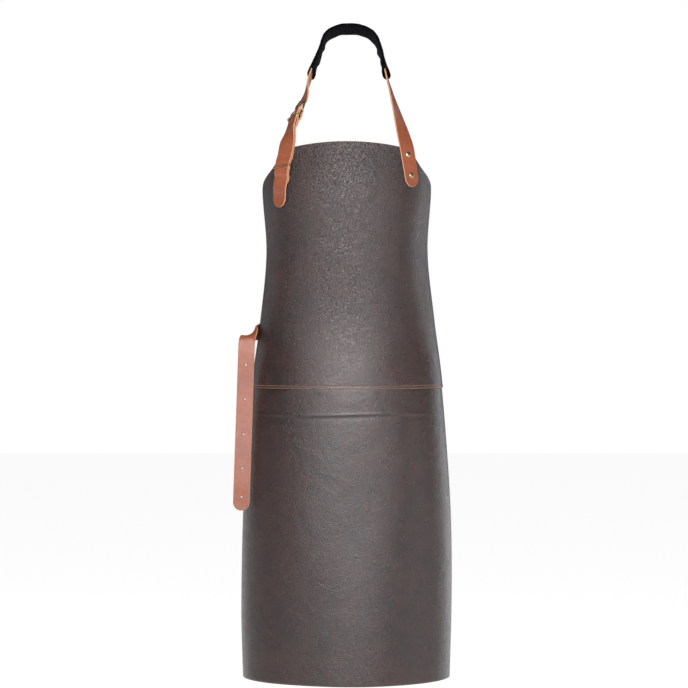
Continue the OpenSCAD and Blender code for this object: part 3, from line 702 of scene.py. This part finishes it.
def hide_grid(heights, cols, half_of, rise_of, out_of):
    t = np.linspace(-1, 1, cols)
    h = heights[:, None] + rise_of(heights)[:, None] * (1 - t[None, :] ** 2)
    s = half_of(heights)[:, None] * t[None, :]
    p, n = surface(s, h)
    out = out_of(s, h) + relief(s, h)
    return s, h, p + n * out[..., None], n


def grid_normals(p, like):
    """Normals of the bent grid itself, on the same side as like."""
    du = np.gradient(p, axis=1)
    dv = np.gradient(p, axis=0)
    n = unit(np.cross(du, dv))
    return n * np.sign(np.sum(n * like, axis=-1, keepdims=True))


def rim_of(s, h, half, low, high):
    d = np.minimum(half - np.abs(s), np.minimum(h - low, high - h))
    return np.clip(1 - d / 4.0, 0, 1)


def rivet_holes(panel):
    cut = []
    for side, heights in ((1, RIVET_H), (-1, HIDDEN_RIVET_H)):
        for h in heights:
            cut.append(slot_cutter(strap_end_frame(side, h), 0, 0, POST_R, -6, 8))
    for s in RIM_RIVETS:
        for q in (s, girth(WAIST_H) - s):
            cut.append(slot_cutter(rim_frame(q), 0, 0, POST_R, -6, 8))
    punch(panel, cut, "panel_edge")


EDGE_IN = 0.55 * PANEL_T / 2
HIDE_T = PANEL_T - 0.1


def bib():
    """The upper hide, with its raw lower edge lapped over the skirt and pulled in along the stitches."""
    near = np.array([0, 0.5, 1.2, 2.2, 3.2, 3.9, 4.5, 5.1, 5.8, 7, 9, 12, 16, 21])
    heights = np.concatenate([SEAM_H + EDGE_IN + near, np.linspace(SEAM_H + 27, CORNER_H - 30, 92),
                              np.linspace(CORNER_H - 26, CORNER_H - EDGE_IN, 9)])

    def half(h):
        return cut_half(h) - EDGE_IN

    def rise(h):
        return TOP_RISE * smooth((h - 860) / (CORNER_H - 860))

    def out(s, h):
        along = np.cos(2 * math.pi * s / STITCH_PITCH)
        groove = -0.20 * np.exp(-((h - SEAM_H - STITCH_UP) / 1.1) ** 2) * (1 - 0.25 * along)
        lift = 0.12 * np.exp(-((h - SEAM_H) / 2.0) ** 2)
        return PANEL_T / 2 + groove + lift

    s, h, p, like = hide_grid(heights, 281, half, rise, out)
    n = grid_normals(p, like)
    side = half(heights)[:, None]
    rim = rim_of(s, h, side, SEAM_H, CORNER_H + rise(heights)[:, None] * (1 - (s / side) ** 2))
    obj = hide_solid("bib_leather", p, n, HIDE_T, ("panel", "flesh", "panel_edge"), np.stack([s, h], -1), rim)
    rivet_holes(obj)
    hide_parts("bib_panel")
    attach(obj, "apron")
    return obj


def skirt():
    """The lower hide, tucked behind the bib, with the soft crease a hand below the seam."""
    top = SEAM_H + LAP
    at_crease = np.array([-9, -6, -4, -2.5, -1.2, 0, 1.2, 2.5, 4, 6, 9])
    at_seam = np.array([-4, -2.5, -1.2, 0, 2, 5, 9, LAP - EDGE_IN])
    heights = np.concatenate([np.linspace(EDGE_IN, CREASE_H - 14, 100), CREASE_H + at_crease,
                              np.linspace(CREASE_H + 14, SEAM_H - 6, 10), SEAM_H + at_seam])

    def half(h):
        return np.full_like(h, SIDE_S - EDGE_IN)

    def out(s, h):
        line = CREASE_H + 1.6 * np.sin(s / 55.0)
        crease = 0.75 * np.exp(-((h - line) / 2.4) ** 2) - 0.45 * np.exp(-((h - line + 5) / 4.0) ** 2)
        under = -0.25 * smooth((h - SEAM_H + 5) / 5)
        return -0.15 - PANEL_T / 2 + crease * (0.55 + 0.45 * np.cos(s / 70.0)) + under

    s, h, p, like = hide_grid(heights, 241, half, lambda z: np.zeros_like(z), out)
    n = grid_normals(p, like)
    rim = rim_of(s, h, SIDE_S - EDGE_IN, 0, top + 40)
    mats = ("panel", "flesh", "panel_edge")
    obj = hide_solid("skirt_leather", p, n, HIDE_T, mats, np.stack([s, h], -1), rim)
    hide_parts("skirt_panel")
    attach(obj, "apron")
    return obj


def seam_stitches():
    """Lock stitches through both hides, seen on the grain side and again inside."""
    paths = []
    count = int((SIDE_S - 4) / STITCH_PITCH)
    h = SEAM_H + STITCH_UP
    for k in range(-count, count + 1):
        s = (k + 0.5) * STITCH_PITCH
        if abs(s) > SIDE_S - 4:
            continue
        reach = 0.43 * STITCH_PITCH
        t = np.linspace(-1, 1, 7)
        tilt = 0.16 * t
        for face, sign in ((PANEL_T - 0.28 + 0.28, 1), (-0.45 - PANEL_T - 0.1, -1)):
            dip = sign * (0.30 - 0.42 * np.abs(t) ** 3)
            lift = relief(np.full(7, s), np.full(7, h))
            paths.append(place(s + reach * t, h + tilt, face + dip + lift))
    obj = many_rods("waist_seam_stitches", paths, 0.42, "thread")
    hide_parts("waist_seam_thread")
    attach(obj, "apron")


# ---------------------------------------------------------------- the straps

def heights_to_points(side, heights, out):
    p = place(strap_s(heights), heights, out)
    n = surface(strap_s(heights), heights)[1]
    return (p, n) if side > 0 else (flip(p), flip(n))


def tip_lift(h):
    return TAIL_LIFT - 3 * smooth((END_H - 2 - h) / 16)


def local(at, x, y, z):
    return at @ Matrix.Translation(Vector((x * MM, y * MM, z * MM)))


def smooth_line(p, keep, turns=6):
    """Relaxes a polyline a little, leaving points where keep is false as they are."""
    for _ in range(turns):
        q = p.copy()
        q[1:-1] = (p[:-2] + 2 * p[1:-1] + p[2:]) / 4
        p = np.where(keep[:, None], q, p)
    return p


NECK_FRAME = frame_matrix(HEEL, HEEL_U, HEEL_N)


def strap_end_frame(side, h, out=0.0):
    p, n = surface(strap_s(h), h)[0], facing(strap_s(h), h)
    up = square_to(surface(strap_s(h + 4), h + 4)[0] - p, n)
    p = p + n * out
    if side < 0:
        p, n, up = flip(p), flip(n), flip(up)
    return frame_matrix(p, up, n)


def neck_strap():
    """One strap from the right-hand rivets, round the neck, through the buckle and down as a tail."""
    tail_w = end_rows()
    low = np.concatenate([END_H + tail_w, np.arange(END_H + 17, FLEX_H - 1, 2.2)])
    p0, n0 = heights_to_points(1, low, np.full(len(low), LAY))
    q = np.concatenate([np.linspace(0.02, 9.8, 230), np.linspace(9.82, 11.3, 130),
                        np.linspace(11.32, 11.985, 30)])
    lift = np.where(q > 9, top_lift(from_heel(q)), 0)
    n1 = loop_normal(q)
    p1 = loop_at(q) + n1 * lift[:, None]
    down = np.concatenate([np.arange(FLEX_H - 1, TIP_H + 17, -2.2), TIP_H + tail_w[::-1]])
    p2, n2 = heights_to_points(-1, down, LAY + bump(down) + tip_lift(down))
    p, n = np.concatenate([p0, p1, p2]), np.concatenate([n0, n1, n2])
    near_flex = np.abs(p[:, 2] - FLEX_H) < 26
    p = smooth_line(p, near_flex, 10)
    n = unit(smooth_line(n, near_flex, 10))
    obj = strap_piece("neck_strap_leather", p, n, round_start=True, round_end=True)
    cut = [slot_cutter(NECK_FRAME, -3.0, 8.6, SLOT_W / 2, 1.5, 12)]
    for h in RIVET_H:
        cut.append(slot_cutter(strap_end_frame(1, h), 0, 0, POST_R, -2, 9))
    for h in TIP_HOLES:
        at_hole = strap_end_frame(-1, h, LAY + TAIL_LIFT + float(bump(h)))
        cut.append(slot_cutter(at_hole, 0, 0, PUNCH_R, -5.2, 6))
    punch(obj, cut, "strap_edge")
    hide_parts("neck_strap", "neck_strap_slot_sides", "neck_strap_end", "neck_strap_tip")
    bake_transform(obj)


def neck_buckle_strap():
    """The short strap: riveted to the bib, up to the buckle and folded back round its heel bar."""
    low = np.concatenate([END_H + end_rows(), np.arange(END_H + 17, FLEX_H - 1, 1.6)])
    p0, n0 = heights_to_points(-1, low, LAY + bump(low))
    up = np.linspace(11.985, 11.02, 60)
    n1 = loop_normal(up)
    p1 = loop_at(up) + n1 * fold_lift(from_heel(up), 0.0)[:, None]
    a = np.radians(np.linspace(8, 172, 22))[:, None]
    n2 = HEEL_U * np.sin(a) + HEEL_N * np.cos(a)
    p2 = HEEL + FOLD_R * n2
    full = np.linspace(11.02, 11.485, 40)
    n3 = -loop_normal(full)
    p3 = loop_at(full) + n3 * fold_lift(from_heel(full), HALF_T + 0.15)[:, None]
    p, nn = np.concatenate([p0, p1, p2, p3]), np.concatenate([n0, n1, n2, n3])
    near_flex = (np.abs(p[:, 2] - FLEX_H) < 20) & (np.arange(len(p)) < len(p0) + 40)
    p = smooth_line(p, near_flex, 8)
    nn = unit(smooth_line(nn, near_flex, 8))
    obj = strap_piece("neck_buckle_strap_leather", p, nn, round_start=True, round_end=True)
    cut = [slot_cutter(NECK_FRAME, -4.7, 8, SLOT_W / 2, -9, 9),
           slot_cutter(local(NECK_FRAME, -FOLD_RIVET_U, 0, 0), 0, 0, POST_R, -5, 5)]
    for h in HIDDEN_RIVET_H:
        cut.append(slot_cutter(strap_end_frame(-1, h), 0, 0, POST_R, -2, 9))
    punch(obj, cut, "strap_edge")
    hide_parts("neck_buckle_strap", "neck_fold_sides", "neck_buckle_strap_end")
    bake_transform(obj)


GIRTH = girth(WAIST_H)
HEEL_S = GIRTH - SIDE_S - HEEL_GAP
OVER = GIRTH - RIM_END
SIDE_EXIT = GIRTH - 226


def free_drop(s):
    return -EXIT_DROP * smooth((s - SIDE_EXIT + EXIT_RUN) / EXIT_RUN)


def waist_out(s):
    return LAY + np.where(s > OVER, mix(TAIL_LIFT, 0.2, smooth((s - OVER - 2) / 16)),
                          np.where(s > SIDE_S + 20, top_lift(HEEL_S - s), 0))


def waist_facing(s):
    """Square to the sloping leather at both rims, and level between them."""
    s = np.asarray(s, float)
    h = np.full_like(s, WAIST_H)
    k = np.maximum(smooth((SIDE_S + 26 - s) / 24), smooth((s - HEEL_S - FLAP_U) / 13))
    return unit(mix(surface(s, h)[1], facing(s, h), k[..., None]))


def rim_frame(s):
    n = waist_facing(s)
    return frame_matrix(surface(s, WAIST_H)[0], (n[1], -n[0], 0), n)


def waist_strap():
    """The long waist strap: right rear edge, round the back, through the buckle, and its hanging end."""
    lie = np.concatenate([RIM_END + end_rows(), np.arange(RIM_END + 18, HEEL_S - 70, 4.0),
                          np.arange(HEEL_S - 68, HEEL_S + 30, 1.5), np.arange(HEEL_S + 31, SIDE_EXIT, 3.0)])
    h = WAIST_H + free_drop(lie)
    p0 = place(lie, h, waist_out(lie))
    n0 = waist_facing(lie)
    out = waist_out(np.array(SIDE_EXIT))
    heads = [place(k, WAIST_H + free_drop(np.array(k)), out) for k in (SIDE_EXIT - 24.0, SIDE_EXIT)]
    head_n = [waist_facing(SIDE_EXIT - 24), waist_facing(SIDE_EXIT)]
    pts = np.array(heads + [np.array(b, float) for b in BEND] + [TAIL_TOP])
    nrm = np.array(head_n + [np.array(b, float) for b in BEND_N] + [np.array([0, -1, 0.05])])
    free = np.concatenate([np.arange(len(pts))[:, None], pts, nrm], axis=1)
    k = np.linspace(1.04, 5, 80)
    vals = through(free, k)
    p1, n1 = vals[:, :3], unit(vals[:, 3:])
    length = np.linalg.norm(TAIL_END - TAIL_TOP)
    d = np.concatenate([np.arange(4, length - 17, 3.0), length - end_rows()[::-1]])
    sway = 1.6 * np.sin(d / length * math.pi * 1.6) * smooth(d / 60) * smooth((length - d) / 60)
    p2 = TAIL_TOP + (TAIL_END - TAIL_TOP) * (d / length)[:, None] + np.array([0, 1, 0]) * sway[:, None]
    n2 = np.repeat(unit(np.array([[0, -1, 0.05]])), len(d), axis=0)
    p, n = np.concatenate([p0, p1, p2]), np.concatenate([n0, n1, n2])
    loose = (np.arange(len(p)) > len(p0) - 6) & (np.arange(len(p)) < len(p0) + len(p1) + 12)
    p = smooth_line(p, loose, 8)
    n = unit(smooth_line(n, loose, 8))
    obj = strap_piece("waist_strap_leather", p, n, round_start=True, round_end=True)
    wf = frame_matrix(place(HEEL_S, WAIST_H, LAY), rim_u(HEEL_S), surface(HEEL_S, WAIST_H)[1])
    cut = [slot_cutter(wf, -3.0, 8.6, SLOT_W / 2, 1.5, 12)]
    for s in RIM_RIVETS:
        cut.append(slot_cutter(rim_frame(s), 0, 0, POST_R, -2, 9))
    for e in TAIL_HOLES:
        at = frame_matrix(TAIL_END + (TAIL_TOP - TAIL_END) * (e / length), (0, 0, 1), (0, -1, 0.05))
        cut.append(slot_cutter(at, 0, 0, PUNCH_R, -6, 6))
    punch(obj, cut, "strap_edge")
    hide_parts("waist_strap", "waist_strap_slot_sides", "waist_strap_tail")
    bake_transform(obj)


def rim_u(s):
    n = surface(s, WAIST_H)[1]
    return np.array([n[1], -n[0], 0])


def waist_buckle_strap():
    """The short strap at the left rear edge, folded round the waist buckle's heel bar."""
    back = np.concatenate([OVER - end_rows(), np.arange(OVER - 17, HEEL_S + 1.5, -2.2)])
    p0 = place(back, WAIST_H, LAY + fold_lift(HEEL_S - back, 0.0))
    n0 = waist_facing(back)
    n, u = surface(HEEL_S, WAIST_H)[1], rim_u(HEEL_S)
    a = np.radians(np.linspace(8, 172, 22))[:, None]
    n1 = u * np.sin(a) + n * np.cos(a)
    p1 = place(HEEL_S, WAIST_H, LAY) + FOLD_R * n1
    flap = np.concatenate([np.arange(HEEL_S + 1, HEEL_S + FLAP_U - 16, 1.6),
                           HEEL_S + FLAP_U - end_rows()[::-1]])
    n2 = -waist_facing(flap)
    p2 = place(flap, WAIST_H, LAY - fold_lift(HEEL_S - flap, HALF_T + SEAT))
    points, normals = np.concatenate([p0, p1, p2]), np.concatenate([n0, n1, n2])
    obj = strap_piece("waist_buckle_strap_leather", points, normals, round_start=True, round_end=True)
    wf = frame_matrix(place(HEEL_S, WAIST_H, LAY), u, n)
    cut = [slot_cutter(wf, -4.7, 8, SLOT_W / 2, -9, 9),
           slot_cutter(rim_frame(HEEL_S + FOLD_RIVET_U), 0, 0, POST_R, -2, 9)]
    for s in RIM_RIVETS:
        cut.append(slot_cutter(rim_frame(GIRTH - s), 0, 0, POST_R, -2, 9))
    punch(obj, cut, "strap_edge")
    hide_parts("waist_buckle_strap", "waist_fold_sides")
    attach(obj, "apron")


# ---------------------------------------------------------------- the fabric sleeve

def sleeve():
    """A sewn tube of cotton gathered on the strap: open mouths, a side seam, hems and bend creases."""
    rows, around = 240, 64
    q = np.linspace(2, 10, rows)
    centre, t, n = loop_at(q), loop_along(q), loop_normal(q)
    b = np.cross(t, n)
    d = np.concatenate([[0], np.cumsum(np.linalg.norm(np.diff(centre, axis=0), axis=1))])
    length = d[-1]
    end = np.minimum(d, length - d)
    mouth = 1 - smooth(end / 34)
    a = np.linspace(0, 2 * math.pi, around, endpoint=False)
    wide = SLEEVE_W + 0.4 - 5.0 * mouth
    deep = SLEEVE_D + 0.1 + 3.6 * mouth
    power = mix(0.55, 0.9, mouth)
    ca, sa = np.cos(a)[None, :], np.sin(a)[None, :]
    x = wide[:, None] * np.sign(ca) * np.abs(ca) ** power[:, None]
    y = deep[:, None] * np.sign(sa) * np.abs(sa) ** power[:, None]
    hem = 0.35 * smooth((9.5 - end) / 0.8)[:, None]
    folds = np.zeros((rows, around))
    for at, size, tilt, wide_mm in ((30, 1.0, 0.5, 7), (46, 1.5, -0.7, 5), (57, 1.2, 0.4, 5),
                                    (68, 1.7, -0.3, 6),
                                    (83, 1.2, 0.8, 7), (104, 0.7, -0.5, 9), (length - 34, 1.0, -0.4, 8),
                                    (length - 52, 1.3, 0.6, 6), (length - 66, 1.6, -0.6, 5),
                                    (length - 78, 1.2, 0.3, 6), (length - 96, 0.8, -0.8, 8),
                                    (length / 2 - 14, 0.5, 0.9, 10), (length / 2 + 22, 0.6, -0.9, 9)):
        line = at + tilt * x
        inward = np.clip(0.45 - 0.55 * sa, 0, 1)
        folds += size * np.exp(-((d[:, None] - line) / wide_mm) ** 2) * inward
        folds -= 0.7 * size * np.exp(-((d[:, None] - line - wide_mm * 1.3) / wide_mm) ** 2) * inward
    ripple = 0.18 * np.sin(d[:, None] / 3.1 + 2.2 * ca + 1.3 * sa) * np.sin(d[:, None] / 11.0 + 3 * ca)
    side = sum(0.55 * np.exp(-((a[None, :] - turn) / 0.10) ** 2) for turn in (0.0, 2 * math.pi))
    out = folds * 0.75 + ripple + hem + side
    norm2 = np.stack([ca * np.ones_like(x) / wide[:, None], sa * np.ones_like(y) / deep[:, None]], -1)
    norm2 = unit(norm2)
    wall = 0.85

    def ring(offset):
        xx = x + norm2[..., 0] * offset
        yy = y + norm2[..., 1] * offset
        return centre[:, None, :] + b[:, None, :] * xx[..., None] + n[:, None, :] * yy[..., None]

    outer, inner = ring(out), ring(np.minimum(out, 0.6) * 0.6 - wall)
    mid_lo = ring(out * 0.8 - wall / 2)[[0, -1]] + np.stack([-t[0] * 0.45, t[-1] * 0.45])[:, None, :]
    verts = np.concatenate([outer.reshape(-1, 3), inner.reshape(-1, 3), mid_lo.reshape(-1, 3)])
    faces = []
    o = np.arange(rows * around).reshape(rows, around)
    v = o + rows * around
    m = np.arange(2 * around).reshape(2, around) + 2 * rows * around
    o2, v2, m2 = np.roll(o, -1, 1), np.roll(v, -1, 1), np.roll(m, -1, 1)
    faces.append(np.stack([o[:-1], o2[:-1], o2[1:], o[1:]], -1).reshape(-1, 4))
    faces.append(np.stack([v[:-1], v[1:], v2[1:], v2[:-1]], -1).reshape(-1, 4))
    faces.append(np.stack([o[0], m[0], m2[0], o2[0]], -1))
    faces.append(np.stack([m[0], v[0], v2[0], m2[0]], -1))
    faces.append(np.stack([o[-1], o2[-1], m2[1], m[1]], -1))
    faces.append(np.stack([m[1], m2[1], v2[-1], v[-1]], -1))
    rim_len = np.cumsum(np.full(around, 84.0 / around))
    flat = np.stack(np.broadcast_arrays(d[:, None], rim_len[None, :]), -1).reshape(-1, 2)
    caps = np.concatenate([np.stack([np.full(around, at_end), rim_len], -1) for at_end in (0.0, length)])
    obj = mesh_object("neck_sleeve_fabric", world(verts), np.concatenate(faces), ("fabric",),
                      uv=np.concatenate([flat, flat, caps]) * MM)
    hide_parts("neck_sleeve")
    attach(obj, "neck_loop")
    paths = []
    for row_d in (7.6, length - 7.6):
        i = int(np.argmin(np.abs(d - row_d)))
        loop = outer[i] + (outer[i] - inner[i]) * 0.12
        fine = np.array([loop[(k % around)] for k in range(around + 1)])
        for k in range(0, around, 2):
            seg = np.array([mix(fine[k], fine[k + 1], f) for f in np.linspace(0.05, 0.95, 4)]
                           + [mix(fine[k + 1], fine[(k + 2) % around], f) for f in np.linspace(0.1, 0.5, 2)])
            paths.append(seg)
    stitches = many_rods("neck_sleeve_hem_stitches", paths, 0.22, "black_thread", 6)
    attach(stitches, "neck_loop")


# ---------------------------------------------------------------- hardware

def brass_nodes():
    for name, obj in frame["nodes"].items():
        if obj is None or obj.type != "MESH":
            continue
        if any(word in name for word in ("buckle_frame", "prong", "keeper", "ring", "rivet")):
            obj.data.materials.clear()
            obj.data.materials.append(MATS["brass"])


# ---------------------------------------------------------------- camera, light and floor

def studio():
    scene = bpy.context.scene
    scene.view_settings.view_transform = "Standard"
    cam = bpy.data.cameras.new("camera")
    cam.lens = 109.6
    cam.sensor_width = 36
    cam.clip_end = 60
    cam_obj = bpy.data.objects.new("camera", cam)
    cam_obj.location = world((-5.5, -3810, 603))
    cam_obj.rotation_euler = (math.pi / 2, 0, 0)
    scene.collection.objects.link(cam_obj)
    scene.camera = cam_obj

    def area(name, loc, target, size_x, size_y, power, colour=(1, 1, 1)):
        light = bpy.data.lights.new(name, "AREA")
        light.shape = "RECTANGLE"
        light.size, light.size_y = size_x, size_y
        light.energy = power
        light.color = colour
        obj = bpy.data.objects.new(name, light)
        obj.location = loc
        obj.rotation_euler = (Vector(target) - Vector(loc)).to_track_quat("-Z", "Y").to_euler()
        obj.visible_camera = False
        scene.collection.objects.link(obj)

    middle = (0, 0, -0.5)
    area("front_wall", (-0.1, -4.6, 1.35), (-0.1, 0, 1.35), 4.3, 3.5, 450, (0.985, 0.975, 1.0))
    area("left_strip", (-1.9, 1.7, -0.4), middle, 0.6, 2.6, 4, (0.90, 0.95, 1.0))
    area("right_strip", (1.9, 1.5, -0.4), middle, 0.7, 2.6, 18, (0.90, 0.95, 1.0))
    area("right_fill", (3.4, -1.6, -0.9), (0, 0, -0.9), 1.4, 1.4, 14, (0.985, 0.975, 1.0))
    area("top_light", (0, 0.4, 2.2), middle, 1.6, 1.2, 4)

    sky = bpy.data.worlds.new("studio")
    sky.use_nodes = True
    tree = sky.node_tree
    back = next(n for n in tree.nodes if n.type == "BACKGROUND")
    back.inputs["Color"].default_value = (1, 1, 1, 1)
    back.inputs["Strength"].default_value = 0.06
    seen = tree.nodes.new("ShaderNodeBackground")
    seen.inputs["Color"].default_value = (1, 1, 1, 1)
    seen.inputs["Strength"].default_value = 1.0
    path = tree.nodes.new("ShaderNodeLightPath")
    blend = tree.nodes.new("ShaderNodeMixShader")
    tree.links.new(path.outputs["Is Camera Ray"], blend.inputs[0])
    tree.links.new(back.outputs[0], blend.inputs[1])
    tree.links.new(seen.outputs[0], blend.inputs[2])
    tree.links.new(blend.outputs[0], next(n for n in tree.nodes if n.type == "OUTPUT_WORLD").inputs[0])
    scene.world = sky

    floor_z = float(world((0, 0, -330))[2])
    floor = bpy.data.meshes.new("floor")
    reach = 14
    corners = [(-reach, -reach), (reach, -reach), (reach, reach), (-reach, reach)]
    floor.from_pydata([(x, y, floor_z) for x, y in corners], [], [(0, 1, 2, 3)])
    mat = bpy.data.materials.new("floor_white")
    mat.use_nodes = True
    bsdf = next(n for n in mat.node_tree.nodes if n.type == "BSDF_PRINCIPLED")
    bsdf.inputs["Base Color"].default_value = (0.3, 0.3, 0.3, 1)
    bsdf.inputs["Roughness"].default_value = 0.95
    bsdf.inputs["Specular IOR Level"].default_value = 0.0
    bsdf.inputs["Emission Color"].default_value = (1, 1, 1, 1)
    bsdf.inputs["Emission Strength"].default_value = 0.93
    floor.materials.append(mat)
    floor_obj = bpy.data.objects.new("floor", floor)
    scene.collection.objects.link(floor_obj)


studio()
bib()
skirt()
seam_stitches()
neck_strap()
neck_buckle_strap()
waist_strap()
waist_buckle_strap()
sleeve()
brass_nodes()
